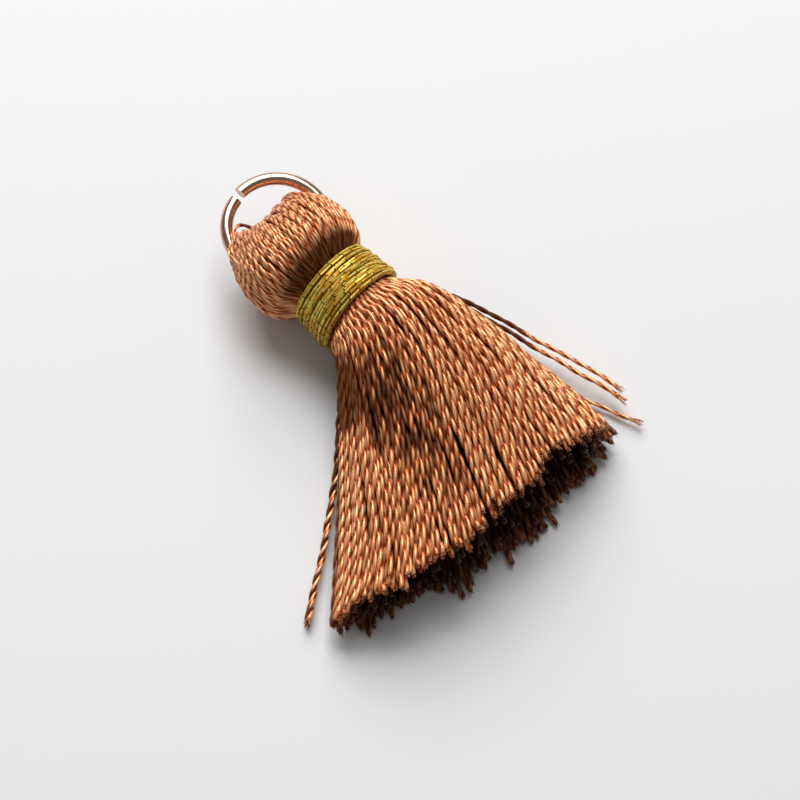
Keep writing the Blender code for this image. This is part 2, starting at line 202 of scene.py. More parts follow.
def read_master(thing, length=THREAD_LENGTH, radius=THREAD_RADIUS, pitch=TWIST_PITCH):
    """The master's mesh as plain arrays, ready to be copied along a route."""
    mesh = thing.data
    place = np.empty(3 * len(mesh.vertices))
    mesh.vertices.foreach_get("co", place)
    place = place.reshape(-1, 3)
    corners = np.empty(len(mesh.loops), int)
    mesh.loops.foreach_get("vertex_index", corners)
    sizes = np.empty(len(mesh.polygons), int)
    mesh.polygons.foreach_get("loop_total", sizes)
    turn = np.arctan2(place[:, 2], place[:, 0])
    ply_turn = turn - 2 * pi * place[:, 1] / pitch
    reach = np.hypot(place[:, 0], place[:, 2]) / radius
    bpy.data.objects.remove(thing)
    print("master thread:", len(place), "vertices,", len(sizes), "faces")
    return {
        "place": place, "corners": corners, "sizes": sizes, "length": length,
        "ply_turn": ply_turn, "reach": reach,
    }


FINE_SIDES = 12
PLAIN_SIDES = 8
FINE_STEPS = 90
PLAIN_STEPS = 72
COARSE_STEPS = 36
FINE_PITCHES = (0.86 * TWIST_PITCH, TWIST_PITCH, 1.16 * TWIST_PITCH)
FINE_THREADS = [
    read_master(
        model_thread("fine_thread", FINE_SIDES, FINE_STEPS, THREAD_LENGTH, pitch), pitch=pitch)
    for pitch in FINE_PITCHES]
PLAIN_THREAD = read_master(model_thread("plain_thread", PLAIN_SIDES, PLAIN_STEPS))
COARSE_THREAD = read_master(model_thread("coarse_thread", PLAIN_SIDES, COARSE_STEPS))

# %% [markdown]
# ## Laying a thread along its route
# Each copy of the master is bent along a route of its own. A Curve modifier could do it, but
# three hundred curves would be slow, and the copies need to swell and untwist near the cut.
# So each vertex is moved by hand: how far along it stood picks a point of the route, and its
# place in the section is set off sideways from there. No thread sinks into the table.
# Each copy carries marks for its finish: a tone, how far out of the section a vertex stands, how
# deep the thread lies, which sets its painted shade, and how steeply it runs down, which sets
# painted shade and a rougher finish.

# %% Helpers that lay threads and join them into one piece
REST_GAP = 0.01 * MM
UNTWIST_FROM = 0.86
UNTWIST_RUN = 0.14
GRAIN_PER_THREAD = 7.0
GRAIN_SHIFT = 50
ANY_ROLL = 6.0


def lay(
        master, route, reference, swell=None, untwist=0.0, roll=0.0, tone=0.5, shift=0.0,
        depth=0.0, dull_shade_weight=1.0):
    """One copy of the master thread bent along a route. Gives its vertices and its marks."""
    place = master["place"]
    swell = np.ones(len(route)) if swell is None else swell
    route = route.copy()
    route[:, 2] = np.maximum(route[:, 2], THREAD_RADIUS * swell + REST_GAP)
    share = np.clip(place[:, 1] / master["length"], 0.0, 1.0)
    past = place[:, 1] - share * master["length"]
    stations = np.linspace(0.0, 1.0, len(route))
    ahead = np.gradient(route, axis=0)
    ahead /= np.linalg.norm(ahead, axis=1)[:, None]
    side = reference - ahead * np.sum(reference * ahead, axis=1)[:, None]
    side /= np.linalg.norm(side, axis=1)[:, None]
    over = np.cross(ahead, side)

    def at(rows):
        return np.stack([np.interp(share, stations, rows[:, axis]) for axis in range(3)], 1)

    turn = roll + untwist * smooth((share - UNTWIST_FROM) / UNTWIST_RUN)
    x = place[:, 0] * np.cos(turn) - place[:, 2] * np.sin(turn)
    z = place[:, 0] * np.sin(turn) + place[:, 2] * np.cos(turn)
    size = np.interp(share, stations, swell)
    laid = at(route) + at(side) * (x * size)[:, None] + at(over) * (z * size)[:, None]
    heading = at(ahead)
    laid += heading * past[:, None]
    ply = master["ply_turn"]
    marks = np.stack((np.cos(ply), np.sin(ply), share * GRAIN_PER_THREAD + shift), 1)
    return {
        "place": laid, "corners": master["corners"], "sizes": master["sizes"],
        "grain": marks, "tone": np.full(len(share), tone), "reach": master["reach"],
        "depth": np.full(len(share), depth),
        # Where the thread runs steeply down, the finish paints shade and makes it rougher.
        "steep_dull_shade": dull_shade_weight * np.clip(heading[:, 2] * np.sign(heading[:, 1]), 0.0, 1.0),
    }


def join_laid(name, copies):
    """Join laid copies into one piece, with the marks its finish reads."""
    def joined(part):
        return np.concatenate([copy[part] for copy in copies])

    start = 0
    corners = []
    for copy in copies:
        corners.append(copy["corners"] + start)
        start += len(copy["place"])
    corners = np.concatenate(corners)
    sizes = joined("sizes")
    place = joined("place")
    mesh = bpy.data.meshes.new(name)
    mesh.vertices.add(len(place))
    mesh.vertices.foreach_set("co", place.ravel())
    mesh.loops.add(len(corners))
    mesh.loops.foreach_set("vertex_index", corners)
    mesh.polygons.add(len(sizes))
    mesh.polygons.foreach_set("loop_start", np.concatenate(([0], np.cumsum(sizes)[:-1])))
    mesh.update(calc_edges=True)
    for mark in ("tone", "reach", "depth", "steep_dull_shade"):
        layer = mesh.attributes.new(mark, "FLOAT", "POINT")
        layer.data.foreach_set("value", joined(mark))
    layer = mesh.attributes.new("grain", "FLOAT_VECTOR", "POINT")
    layer.data.foreach_set("vector", joined("grain").ravel())
    mesh.shade_smooth()
    thing = bpy.data.objects.new(name, mesh)
    bpy.context.scene.collection.objects.link(thing)
    print(name, "threads:", len(copies), "triangles:", int(np.sum(sizes - 2)))
    return thing


# %% [markdown]
# ## Where the loose threads go
# The threads leave the neck as a round bundle and fan out to a wide, low crescent at the cut.
# A thread that starts high on the neck ends high in the crescent, so the bundle's ring of
# places is mapped round the crescent's outline, and each inner layer the same way, nearer
# its core.

# %% The outline of the cut end
END_MIDDLE_X = -1.4 * MM
END_HALF_WIDTH = 11.8 * MM
END_SIDE_HEIGHT = 1.7 * MM
END_CROWN = 4.2 * MM
END_CROWN_RIGHT = 0.6 * MM
END_CROWN_POWER = 2.4
END_CROWN_ROOT = 0.6
END_UNDER = 1.75 * MM
END_UNDER_POWER = 5.0
END_CORE_REACH = 0.74
END_TOP = END_SIDE_HEIGHT + END_CROWN
END_Y = -19.75 * MM
END_Y_MIDDLE_X = -4.5 * MM
END_Y_CURVE = 0.013 / MM
OUTLINE_POINTS = 400


def top_line(across):
    """Height of the loose end's top at a place across it, from -1 to 1."""
    crown = END_CROWN + END_CROWN_RIGHT * across
    return END_SIDE_HEIGHT + crown * (1.0 - np.abs(across) ** END_CROWN_POWER) ** END_CROWN_ROOT


def under_line(across):
    """Height of the loose end's underside: flat where its threads lie on the table."""
    fall = END_UNDER * np.sqrt(1.0 - np.abs(across) ** END_UNDER_POWER)
    return np.maximum(END_SIDE_HEIGHT - fall, THREAD_RADIUS)


turns = np.linspace(0.0, pi, OUTLINE_POINTS)
over_points = np.stack((np.cos(turns), top_line(np.cos(turns))), 1)
under_points = np.stack((-np.cos(turns), under_line(-np.cos(turns))), 1)[1:]
OUTLINE = np.concatenate((over_points, under_points))
OUTLINE[:, 0] = END_MIDDLE_X + END_HALF_WIDTH * OUTLINE[:, 0]
OUTLINE_RUN = np.concatenate(([0.0], np.cumsum(np.hypot(*np.diff(OUTLINE, axis=0).T))))
TOP_SHARE = OUTLINE_RUN[len(over_points) - 1] / OUTLINE_RUN[-1]
print("outline mm:", round(OUTLINE_RUN[-1] / MM, 1), "of which above:", round(TOP_SHARE, 2))


def end_place(at, outward):
    """Where a thread ends across and up: a share round the outline, and outward of its core."""
    run = (at % 1.0) * OUTLINE_RUN[-1]
    edge = np.array([np.interp(run, OUTLINE_RUN, OUTLINE[:, axis]) for axis in (0, 1)])
    reach = END_CORE_REACH * END_HALF_WIDTH
    core_x = np.clip(edge[0], END_MIDDLE_X - reach, END_MIDDLE_X + reach)
    across = (core_x - END_MIDDLE_X) / END_HALF_WIDTH
    core = np.array((core_x, 0.5 * (top_line(across) + under_line(across))))
    return core + (edge - core) * outward


# %% [markdown]
# Each route is one smooth curve from the neck to the thread's place at the cut. Its fall to
# the table is set apart, because the threads at the sides land sooner. Then it gets its waves
# and its own length. A simulation could drop the threads, but it would not land them where
# the photograph shows them.

# %% Routes of the loose threads
COLLAR_ALONG = -2.6 * MM
NECK_ALONG = -1.2 * MM
START_LEAN = 0.42
START_SPLAY = 1.03
START_SPLAY_RIGHT = 0.2
START_REACH = 0.2
FAN_MIDDLE = radians(-8.3)
FAN_PER_METRE = radians(1.5) / MM
FAN_REACH = 0.2
CROWN_SWELL = 0.8 * MM
LEFT_TUCK = 0.5 * MM
TUCK_SCALE = 9.5
LANDING_LOW = 0.5
LANDING_HIGH = 1.0
LANDING_LEFT = 0.52
ROUTE_POINTS = 80
NECK_POINTS = 8
NECK_PINCH = 0.24
PAST_END = 3.0 * MM
WAVES_GROW = 5.0 * MM
WAVE_ALONG = 0.3
LIFT_PHASE = 3.7
LIFT_COUNT = 1.2
SEED = 11
chance = np.random.default_rng(SEED)


def loose_route(
        at, radius, outward, past_end, wave, end=None, heading=None, landing=None,
        reach=FAN_REACH):
    """The middle line of one loose thread, from inside the binding to its cut end."""
    angle = 2 * pi * at
    collar = head_place(
        radius * cos(angle), COLLAR_ALONG, NECK_HEIGHT + radius * sin(angle))
    if end is None:
        x, up = end_place(at, outward)
        y = END_Y + END_Y_CURVE * (x - END_Y_MIDDLE_X) ** 2
        end = NECK + np.array((x, y, up))
    x, up = end[0] - NECK[0], end[2]
    tuck = 0.0
    if heading is None:
        heading = FAN_MIDDLE + FAN_PER_METRE * (x - END_MIDDLE_X)
    if landing is None:
        landing = LANDING_LOW + (LANDING_HIGH - LANDING_LOW) * min(up / END_TOP, 1.0)
        landing *= 1.0 - LANDING_LEFT * max(0.0, -cos(angle))
        tuck = LEFT_TUCK * max(0.0, -cos(angle)) ** 3
    splay = START_SPLAY + START_SPLAY_RIGHT * max(cos(angle), 0.0)
    start = -ALONG_AXIS + ACROSS_AXIS * (START_LEAN + splay * outward * cos(angle))
    start /= np.linalg.norm(start)
    finish = np.array((sin(heading), -cos(heading), 0.0))
    length = np.linalg.norm(end - collar)
    share = np.linspace(0.0, 1.0, ROUTE_POINTS)[:, None]
    rest = 1.0 - share
    after_root = collar + start * START_REACH * length
    before_end = end - finish * reach * length
    route = collar * rest ** 3 + after_root * 3 * rest ** 2 * share
    route += before_end * 3 * rest * share ** 2 + end * share ** 3
    fall = smooth(share[:, 0] / landing)
    swell = CROWN_SWELL * outward * max(0.0, sin(angle))
    route[:, 2] = collar[2] + (end[2] - collar[2]) * fall
    route[:, 2] += swell * np.sin(pi * share[:, 0]) * rest[:, 0]
    route[:, 0] += tuck * TUCK_SCALE * share[:, 0] ** 3 * rest[:, 0]
    neck_share = np.linspace(0.0, 1.0, NECK_POINTS, endpoint=False)
    neck_radius = radius * (1.0 - NECK_PINCH + NECK_PINCH * smooth(neck_share))
    neck = head_place(
        neck_radius * cos(angle),
        NECK_ALONG + (COLLAR_ALONG - NECK_ALONG) * neck_share,
        NECK_HEIGHT + neck_radius * sin(angle),
    )
    beyond = (end + finish * PAST_END)[None, :]
    route = np.concatenate((neck, route, beyond))
    steps = np.linalg.norm(np.diff(route, axis=0), axis=1)
    run = np.concatenate(([0.0], np.cumsum(steps)))
    even = np.linspace(0.0, run[-2] + past_end, ROUTE_POINTS)
    route = np.stack([np.interp(even, run, route[:, axis]) for axis in range(3)], 1)
    grow = smooth(even / WAVES_GROW)
    share = even / even[-1]
    for phase, count, sideways, upwards in wave:
        sway = np.sin(2 * pi * (phase + count * share)) * grow
        lift = np.sin(2 * pi * (LIFT_PHASE * phase + LIFT_COUNT * count * share)) * grow
        route[:, 0] += sideways * sway
        route[:, 1] += WAVE_ALONG * sideways * sway
        route[:, 2] += upwards * lift
    route[:, 2] = np.maximum(route[:, 2], THREAD_RADIUS)
    return route


WAVE_KINDS = ((0.6, 1.6, 1.0), (2.0, 3.4, 0.5), (4.5, 7.0, 0.3))
WEAKEST_WAVE = 0.3
WAVE_LIFT = 0.6


def random_wave(strength):
    """Waves in one thread: a long one and two short ones, each with its phase and heights.
    Each kind has its least and most waves along the thread and its share of the strength."""
    waves = []
    for low, high, share in WAVE_KINDS:
        sideways = strength * share * chance.uniform(WEAKEST_WAVE, 1.0) * MM
        waves.append((
            chance.uniform(), chance.uniform(low, high), sideways, WAVE_LIFT * sideways))
    return waves


# %% [markdown]
# ## The skirt of loose threads
# Five layers, one inside the other. The outer ones show their twist, so they are copies of the fine
# masters, and the inner ones only show as ends at the cut, dark with painted shade, and get a coarse
# one. The threads on the underside get painted shade as well.
# The threads lie in clumps, the cut is uneven, and those that turn left, away from the lamp, get
# painted shade through a darker tone.

# %% Lay the skirt
# A layer's depth sets how much painted shade its threads get.
LAYERS = (
    {"threads": 108, "masters": FINE_THREADS,
     "radii": (3.48, 3.24), "outward": (1.0, 0.955), "depth": 0.0},
    {"threads": 84, "masters": [PLAIN_THREAD],
     "radii": (3.02, 2.76), "outward": (0.905, 0.84), "depth": 0.25},
    {"threads": 66, "masters": [COARSE_THREAD],
     "radii": (2.36, 2.08), "outward": (0.7, 0.62), "depth": 0.75},
    {"threads": 48, "masters": [COARSE_THREAD],
     "radii": (1.78, 1.46), "outward": (0.52, 0.42), "depth": 1.0},
    {"threads": 26, "masters": [COARSE_THREAD],
     "radii": (1.1, 0.6), "outward": (0.3, 0.16), "depth": 1.0},
)
END_UNEVEN = 0.28 * MM
END_UNEVEN_SPREAD = 0.9
# Threads on the underside get at least this much painted shade.
UNDERSIDE_SHADE_DEPTH = 0.78
LOWER_REACH = (
    (-13.0, 0.9), (-12.0, 0.7), (-11.0, 0.4), (-6.0, 0.3), (-5.2, 1.0), (-3.7, 1.3), (-0.6, 0.65),
    (0.3, 1.15), (2.8, 1.4), (4.9, 0.7), (6.7, 1.0), (10.3, 0.8))
TOP_REACH = (
    (-12.0, -0.7), (-11.0, -0.9), (-10.0, 0.0), (-8.8, 0.3), (-5.2, 0.0), (-3.4, 0.35), (-0.9, -0.3),
    (2.6, -0.2), (4.5, -1.0), (5.8, -1.3), (7.0, -0.6), (8.8, -0.4), (10.2, -0.3))
LONG_END = 0.6 * MM
LONG_END_CHANCE = 0.12
LONG_END_LOW = 0.9
LONG_END_RANGE = (0.3, 1.2)
CLUMP_COUNTS = (9, 16, 27, 41)
CLUMP_SHIFT = 0.0006
CLUMP_PHASE = 0.31
PLACE_SPREAD = 0.25
THREAD_WAVE = 0.14
SWELL_PLACES = (0.0, 0.15, 0.8, 1.0)
SWELL_SIZES = (0.84, 0.92, 1.02)
END_SWELL = 1.1
END_SWELL_RANGE = (0.9, 1.12)
BULGE = 0.06
BULGE_COUNTS = (3, 6)
THREAD_SIZES = (0.88, 1.12)
OPEN_TURN = -0.8
LEFT_FROM = 0.2
LEFT_RUN = 0.7
# Share of tone taken off threads turned left, away from the lamp: painted shade.
LEFT_TONE_SHADE = 0.7
# How much painted shade and dulling a steep thread gets, with more for threads turned left, away
# from the lamp.
DULL_SHADE_WEIGHT = 0.12
LEFT_DULL_SHADE_WEIGHT = 1.33


def table_value(table, x):
    """A value read between the lines of a table of places in millimetres from the neck."""
    places, values = zip(*table)
    return float(np.interp(x / MM, places, values)) * MM


def clumped(at):
    """A share of the way round, drawn towards its neighbours so that threads lie in clumps."""
    return at + CLUMP_SHIFT * sum(
        np.sin(2 * pi * (count * at + CLUMP_PHASE * count)) for count in CLUMP_COUNTS)


def lay_layer(layer):
    """Every thread of a layer, with its share of the way round and its route."""
    laid = []
    for thread in range(layer["threads"]):
        at = clumped((thread + chance.uniform(-PLACE_SPREAD, PLACE_SPREAD)) / layer["threads"])
        odd = thread % 2
        x, up = end_place(at, layer["outward"][odd])
        low = 1.0 - min(up / END_TOP, 1.0)
        past_end = low * table_value(LOWER_REACH, x) + (1.0 - low) * table_value(TOP_REACH, x)
        past_end += END_UNEVEN * chance.normal(0.0, END_UNEVEN_SPREAD)
        if low > LONG_END_LOW and chance.uniform() < LONG_END_CHANCE:
            past_end += LONG_END * chance.uniform(*LONG_END_RANGE)
        route = loose_route(
            at, layer["radii"][odd] * MM, layer["outward"][odd], past_end,
            random_wave(THREAD_WAVE))
        stations = np.linspace(0, 1, ROUTE_POINTS)
        swell = np.interp(stations, SWELL_PLACES, (
            *SWELL_SIZES, END_SWELL * chance.uniform(*END_SWELL_RANGE)))
        swell *= 1.0 + BULGE * np.sin(
            2 * pi * (chance.uniform() + chance.uniform(*BULGE_COUNTS) * stations))
        swell *= chance.uniform(*THREAD_SIZES)
        tone = chance.uniform()
        # Threads on the underside get painted shade as the deep ones do.
        depth = layer["depth"] if at % 1.0 < TOP_SHARE else max(layer["depth"], UNDERSIDE_SHADE_DEPTH)
        master = layer["masters"][thread % len(layer["masters"])]
        turned_left = smooth((LEFT_FROM - cos(2 * pi * at)) / LEFT_RUN)
        # Threads turned left, away from the lamp, get a lower tone: painted shade.
        tone *= 1.0 - LEFT_TONE_SHADE * turned_left
        copy = lay(
            master, route, UP_AXIS, swell, untwist=chance.uniform(OPEN_TURN, 0.0),
            roll=chance.uniform(0, 2 * pi), tone=tone, shift=chance.uniform(0, GRAIN_SHIFT),
            depth=depth, dull_shade_weight=DULL_SHADE_WEIGHT + LEFT_DULL_SHADE_WEIGHT * turned_left)
        laid.append({
            "at": at % 1.0, "copy": copy, "route": route, "tone": tone, "depth": depth})
    return laid


outer = lay_layer(LAYERS[0])
inner = lay_layer(LAYERS[1])
skirt_top = join_laid(
    "silk_skirt_top", [thread["copy"] for thread in outer if thread["at"] < TOP_SHARE])
skirt_under = join_laid(
    "silk_skirt_under", [thread["copy"] for thread in outer if thread["at"] >= TOP_SHARE])
skirt_inner = join_laid("silk_skirt_inner", [thread["copy"] for thread in inner])
skirt_core = join_laid(
    "silk_skirt_core",
    [thread["copy"] for layer in LAYERS[2:] for thread in lay_layer(layer)])

# %% [markdown]
# ## Brushes of open fibre
# Where a thread is cut, its plies open and the fibres stand out as a small brush. One fibre
# is modelled, short and fine, and laid several times round the end of each thread.

# %% Model a fibre and brush the cut ends
FIBRE_LENGTH = 1.0 * MM
FIBRE_SIZE = 0.2
FIBRE_TIP_SIZE = 0.6 * FIBRE_SIZE
FIBRE_STEPS = 3
FIBRE_POINTS = 6
FIBRE_JITTER = 0.4
FIBRE_INSIDE = 0.4
FIBRE_LENGTHS = (0.6, 1.1)
FIBRE_OFFSET = 0.35 * THREAD_RADIUS
FIBRE_SPREADS = (0.3, 1.0)
FIBRE_BEND = 1.6
CUT_FIBRES = 4
CUT_FIBRE_LENGTH = 0.34 * MM
CUT_FIBRE_SPREAD = 0.05 * MM
FIBRE_MASTER = read_master(
    model_thread("fibre", PLAIN_SIDES, FIBRE_STEPS, FIBRE_LENGTH), FIBRE_LENGTH)


def brush(route, fibres, length, spread, tone, depth=0.0):
    """Fibres fanned out round the end of a thread's route."""
    ahead = route[-1] - route[-4]
    ahead /= np.linalg.norm(ahead)
    side = np.cross(ahead, UP_AXIS)
    made = []
    for fibre in range(fibres):
        turn = 2 * pi * (fibre + chance.uniform(-FIBRE_JITTER, FIBRE_JITTER)) / fibres
        off = side * cos(turn) + np.cross(side, ahead) * sin(turn)
        share = np.linspace(0.0, 1.0, FIBRE_POINTS)[:, None]
        own_length = length * chance.uniform(*FIBRE_LENGTHS)
        fibre_route = route[-1] + ahead * own_length * (share - FIBRE_INSIDE)
        fibre_route = fibre_route + off * (
            FIBRE_OFFSET + spread * chance.uniform(*FIBRE_SPREADS) * share ** FIBRE_BEND)
        fibre_route[:, 2] = np.maximum(fibre_route[:, 2], FIBRE_SIZE * THREAD_RADIUS)
        made.append(lay(
            FIBRE_MASTER, fibre_route, UP_AXIS,
            np.linspace(FIBRE_SIZE, FIBRE_TIP_SIZE, FIBRE_POINTS),
            roll=turn, tone=tone, shift=chance.uniform(0, GRAIN_SHIFT), depth=depth))
    return made


cut_fibres = []
for thread in outer + inner:
    # A brush takes its thread's painted shade.
    cut_fibres += brush(
        thread["route"], CUT_FIBRES, CUT_FIBRE_LENGTH, CUT_FIBRE_SPREAD, thread["tone"],
        depth=thread["depth"])
cut_brushes = join_laid("silk_cut_brushes", cut_fibres)

# %% [markdown]
# ## The strays
# A few threads left the bundle: a pair and a single thread on the right, and a pair on the
# left that are wound loosely round each other. Each gets a route of its own, and its brush.

# %% Lay the strays
LEFT_PAIR = {
    "at": 0.53, "end": (-14.3, -17.5, 0.5), "heading": -44.0, "landing": 0.62, "reach": 0.3,
    "size": 0.9, "brush": 0.6}
STRAYS = (
    {"at": 0.043, "end": (12.6, -14.8, 1.4), "heading": 19.8, "landing": 0.66, "reach": 0.35,
     "size": 0.86, "twine": None, "brush": 0.9},
    {"at": 0.022, "end": (12.24, -15.55, 1.3), "heading": 23.2, "landing": 0.68, "reach": 0.3,
     "size": 0.86, "twine": None, "brush": 1.1},
    {"at": 0.0, "end": (12.2, -17.15, 0.45), "heading": 32.2, "landing": 0.61, "reach": 0.32,
     "size": 0.74, "twine": None, "brush": 1.3},
    {**LEFT_PAIR, "twine": 0.0},
    {**LEFT_PAIR, "twine": 0.5},
)
STRAY_RADIUS = 3.4 * MM
LEFT_PAIR_WAVE = 0.1
TWINE_PITCH = 2.5 * MM
TWINE_RADIUS = 0.15 * MM
TWINE_LIFT = 0.6
STRAY_OPENS_AT = 0.9
STRAY_OPENING = 1.15
STRAY_TONES = (0.5, 0.9)
STRAY_FIBRES = 12
STRAY_FIBRE_SPREAD = 0.2 * MM
stray_copies = []
left_wave = random_wave(LEFT_PAIR_WAVE)
for stray in STRAYS:
    end = NECK + np.array(stray["end"]) * MM
    wave = random_wave(THREAD_WAVE) if stray["twine"] is None else left_wave
    route = loose_route(
        stray["at"], STRAY_RADIUS, 1.0, 0.0, wave, end=end, heading=radians(stray["heading"]),
        landing=stray["landing"], reach=stray["reach"])
    if stray["twine"] is not None:
        run = np.linspace(0.0, np.sum(np.linalg.norm(np.diff(route, axis=0), axis=1)), len(route))
        turn = 2 * pi * (run / TWINE_PITCH + stray["twine"])
        route[:, 0] += TWINE_RADIUS * np.cos(turn)
        route[:, 2] += TWINE_RADIUS * (np.sin(turn) + TWINE_LIFT)
    size = stray["size"]
    swell = np.interp(
        np.linspace(0, 1, ROUTE_POINTS), (0, STRAY_OPENS_AT, 1.0),
        (size, size, STRAY_OPENING * size))
    tone = chance.uniform(*STRAY_TONES)
    stray_copies.append(lay(
        FINE_THREADS[1], route, UP_AXIS, swell, untwist=OPEN_TURN,
        roll=chance.uniform(0, ANY_ROLL), tone=tone))
    stray_copies += brush(route, STRAY_FIBRES, stray["brush"] * MM, STRAY_FIBRE_SPREAD, tone)
strays = join_laid("silk_strays", stray_copies)

# %% [markdown]
# ## The head
# The same threads go up from the neck, over the dome of the head, through the ring and back
# underneath. Each loop follows one column of the dome, and turns over at the slanted line of
# loops that shows in the ring's opening.

# %% Lay the head's loops
TIP_HALF_WIDTH = 3.3 * MM
TIP_ACROSS = (
    -3.6, -3.1, -2.5, -2.1, -1.6, -1.1, -0.6, -0.2, 0.1, 0.7, 1.3, 1.7, 1.9, 2.5, 3.2, 3.8)
TIP_ALONG = (
    7.6, 8.2, 8.75, 8.6, 8.15, 8.2, 7.95, 8.0, 7.65, 8.2, 8.2, 7.85, 8.2, 8.25, 7.9, 7.5)
HEAD_NECK_ALONG = 1.2 * MM
HEAD_INSIDE_RADIUS = 2.65 * MM
HEAD_TUCK_RUN = 1.3 * MM
HEAD_SAG_RUN = 0.4 * MM
BACK_POINTS = 20
DOME_POINTS = 44
TIP_FOLD_POWER = 1.2
STILL_SHARE = 0.12
LOOP_WAVES = 1.5


def tip_line(across):
    """How far the thread loops reach along, at a place across the head."""
    return np.interp(across / MM, TIP_ACROSS, TIP_ALONG) * MM


def loop_route(angle, depth, wave, tip_short=0.0):
    """One thread from the neck over the head and back below it."""
    part = np.linspace(0.0, 1.0, BACK_POINTS, endpoint=False)
    back_along = HEAD_NECK_ALONG + (HEAD_MIDDLE - HEAD_NECK_ALONG) * part
    swell = np.sin(0.5 * pi * np.clip(
        (back_along - HEAD_START) / (HEAD_MIDDLE - HEAD_START), 0.0, 1.0)) ** HEAD_SHOULDER_POWER
    tuck = smooth((back_along - HEAD_NECK_ALONG) / HEAD_TUCK_RUN)
    start_radius = HEAD_INSIDE_RADIUS + (HEAD_START_RADIUS - HEAD_INSIDE_RADIUS) * tuck
    back_width = start_radius + (HEAD_HALF_WIDTH - HEAD_START_RADIUS) * swell
    turn = np.linspace(0.0, 0.5 * pi, DOME_POINTS)
    fold = np.cos(turn)
    width = TIP_HALF_WIDTH + (HEAD_HALF_WIDTH - TIP_HALF_WIDTH) * fold ** TIP_FOLD_POWER
    across = (width - depth) * cos(angle)
    along = HEAD_MIDDLE + (tip_line(across) - depth - tip_short - HEAD_MIDDLE) * np.sin(turn)
    up = (HEAD_HALF_HEIGHT - depth) * fold * sin(angle)
    half_across = np.concatenate(((back_width - depth) * cos(angle), across))
    half_along = np.concatenate((back_along, along))
    half_up = np.concatenate(((back_width - depth) * sin(angle), up))
    sag = np.interp(half_along, (HEAD_NECK_ALONG, HEAD_START + HEAD_SAG_RUN, HEAD_TIP),
                    (0.0, HEAD_SAG_START, HEAD_SAG_TIP))
    half_across = half_across - sag
    full_across = np.concatenate((half_across, half_across[-2::-1]))
    full_along = np.concatenate((half_along, half_along[-2::-1]))
    full_up = np.concatenate((half_up, -half_up[-2::-1]))
    share = np.linspace(0.0, 1.0, len(full_up))
    still_ends = smooth(share / STILL_SHARE) * smooth((1.0 - share) / STILL_SHARE)
    rise = np.zeros(len(share))
    for phase, count, sideways, upwards in wave:
        full_across = full_across + sideways * still_ends * np.sin(
            2 * pi * (phase + LOOP_WAVES * count * share))
        rise += upwards * still_ends * np.sin(
            2 * pi * (LIFT_PHASE * phase + LOOP_WAVES * count * share))
    away = np.sign(full_up) * np.minimum(1.0, np.abs(full_up) / MM)
    route = head_place(full_across, full_along, NECK_HEIGHT + full_up + rise * away)
    route[:, 2] = np.maximum(route[:, 2], THREAD_RADIUS)
    return route


HEAD_THREAD_SIZE = 0.8
# How much painted shade and dulling a steep head thread gets.
HEAD_DULL_SHADE_WEIGHT = 0.5
HEAD_THREAD_PITCH = 2.0 * MM
HEAD_THREAD_STEPS = 88
LOOP_JITTER = 0.3
LOOP_SINK = 0.1
LOOP_SHORT = 0.25
HEAD_THREAD = read_master(
    model_thread(
        "head_thread", FINE_SIDES, HEAD_THREAD_STEPS, THREAD_LENGTH, HEAD_THREAD_PITCH),
    pitch=HEAD_THREAD_PITCH)
# A layer's mark sets how much painted shade its loops get.
HEAD_LAYERS = (
    {"loops": 60, "depth": 0.16 * MM, "wave": 0.11, "master": HEAD_THREAD, "mark": 0.0},
    {"loops": 46, "depth": 0.38 * MM, "wave": 0.12, "master": COARSE_THREAD, "mark": 0.2},
    {"loops": 26, "depth": 0.85 * MM, "wave": 0.1, "master": COARSE_THREAD, "mark": 1.0},
)
head_copies = []
for layer in HEAD_LAYERS:
    for loop in range(layer["loops"]):
        angle = pi * (loop + 0.5 + chance.uniform(-LOOP_JITTER, LOOP_JITTER)) / layer["loops"]
        route = loop_route(
            angle, layer["depth"] + chance.uniform(-LOOP_SINK, LOOP_SINK) * MM,
            random_wave(layer["wave"]), chance.uniform(0.0, LOOP_SHORT) * MM)
        reference = ACROSS_AXIS * sin(angle) - UP_AXIS * cos(angle)
        size = HEAD_THREAD_SIZE * np.ones(len(route))
        head_copies.append(lay(
            layer["master"], route, reference, size, roll=chance.uniform(0, 2 * pi),
            tone=chance.uniform(), shift=chance.uniform(0, GRAIN_SHIFT), depth=layer["mark"],
            dull_shade_weight=HEAD_DULL_SHADE_WEIGHT))

# %% [markdown]
# A few loops came loose at the ring's left side. No rule gives their shape, so each follows
# places read off the photograph, drawn into a smooth line.

# %% Lay the loose loops at the ring's left side
LOOSE_LOOPS = (
    ((-2.6, 4.6, 1.7), (-3.3, 6.2, 1.45), (-3.3, 7.5, 1.2), (-2.7, 8.3, 1.05), (-2.0, 8.8, 0.9),
     (-1.4, 8.75, 0.6), (-1.0, 8.1, 0.3), (-0.8, 7.0, -0.2)),
    ((-2.9, 4.9, 1.9), (-3.6, 6.5, 1.55), (-3.55, 7.5, 1.3), (-3.2, 8.0, 1.1), (-2.75, 8.0, 0.7),
     (-2.4, 7.5, 0.3), (-2.2, 6.7, -0.1)),
    ((-2.6, 4.9, 2.1), (-3.3, 6.5, 1.8), (-3.25, 7.3, 1.55), (-2.85, 7.7, 1.3), (-2.5, 7.8, 0.9),
     (-2.2, 7.4, 0.4), (-2.0, 6.8, 0.0)),
    ((-3.2, 4.7, 1.5), (-3.85, 6.3, 1.3), (-3.85, 7.4, 1.15), (-3.5, 7.85, 1.0), (-3.1, 7.8, 0.6),
     (-2.8, 7.3, 0.2), (-2.6, 6.5, -0.1)),
)
LOOSE_LOOP_SIZE = 0.68
LOOSE_LOOP_TONE = 0.9
LOOP_LENGTH = 8 * MM
LOOP_STEPS = 40
LOOP_POINTS = 60
